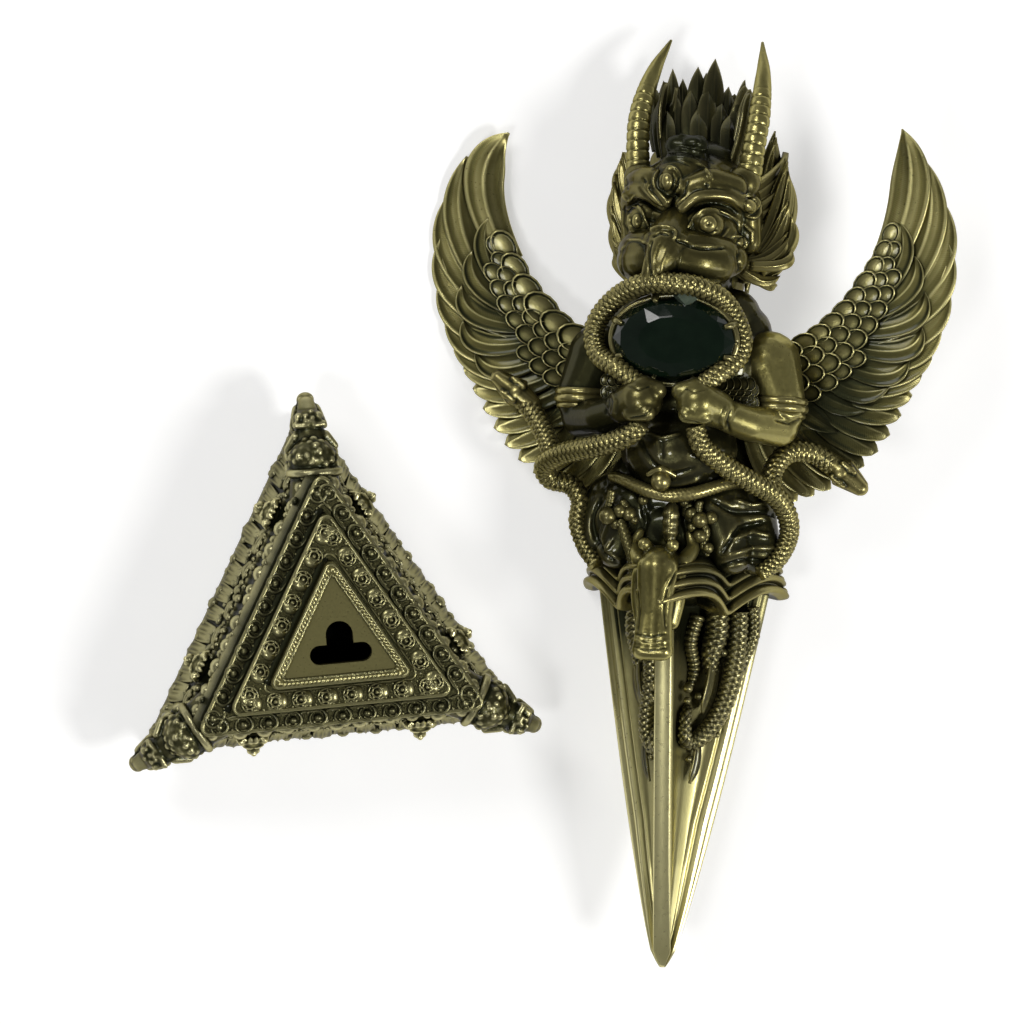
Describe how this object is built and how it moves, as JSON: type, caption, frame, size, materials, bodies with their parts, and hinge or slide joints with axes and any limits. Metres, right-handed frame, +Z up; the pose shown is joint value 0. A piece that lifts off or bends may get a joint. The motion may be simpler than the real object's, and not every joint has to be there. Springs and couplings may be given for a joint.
{
  "type": "ritual dagger with stand",
  "caption": "Three-edged ritual dagger with a winged, horned bird-headed figure as its handle, lying beside a hollow stepped triangular stand with a three-lobed slot for its blade.",
  "frame": {"origin": "middle of the stand's flat base, on the surface that both pieces rest on", "axes": "+Z up from the surface, +Y towards the handle end of the lying dagger, +X from the stand towards the dagger"},
  "size_m": [0.1862, 0.2117, 0.0527],
  "materials": {
    "blade_brass": "antiqued, satin, rubbed bright on the raised rims",
    "figure_brass": "antiqued, satin, dark patina in the recesses",
    "wing_brass": "antiqued, satin, dark patina between the feathers",
    "dark_brass": "dark green-black patina, glossy",
    "stand_brass": "antiqued, satin, dark patina in the ornament",
    "green_glass": "dark green faceted glass, foil-backed",
    "clear_glass": "pale faceted glass"
  },
  "bodies": {
    "stand": {"stand_body": "stand_brass", "stand_lower_tier": "stand_brass", "stand_upper_tier": "stand_brass", "stand_top": "stand_brass", "stand_head_back": "stand_brass", "stand_head_left": "stand_brass", "stand_head_right": "stand_brass"},
    "dagger": {"blade": "blade_brass", "blade_serpents": "dark_brass", "makara_collar": "figure_brass", "lower_body": "dark_brass", "torso": "dark_brass", "left_arm": "figure_brass", "right_arm": "figure_brass", "head": "figure_brass", "beak": "figure_brass", "mane": "figure_brass", "crest": "dark_brass", "left_horn": "blade_brass", "right_horn": "blade_brass", "left_wing": "wing_brass", "right_wing": "wing_brass", "beak_serpent": "figure_brass", "left_serpent": "figure_brass", "right_serpent": "figure_brass", "chest_gem": "green_glass", "throat_gem": "clear_glass", "belt_beads": "figure_brass", "pendant": "dark_brass"}
  },
  "joints": [
    {"name": "dagger_lift", "type": "slide", "parent": "stand", "child": "dagger", "axis": [0, 0, 1], "range_m": [0, 0.15]}
  ]
}
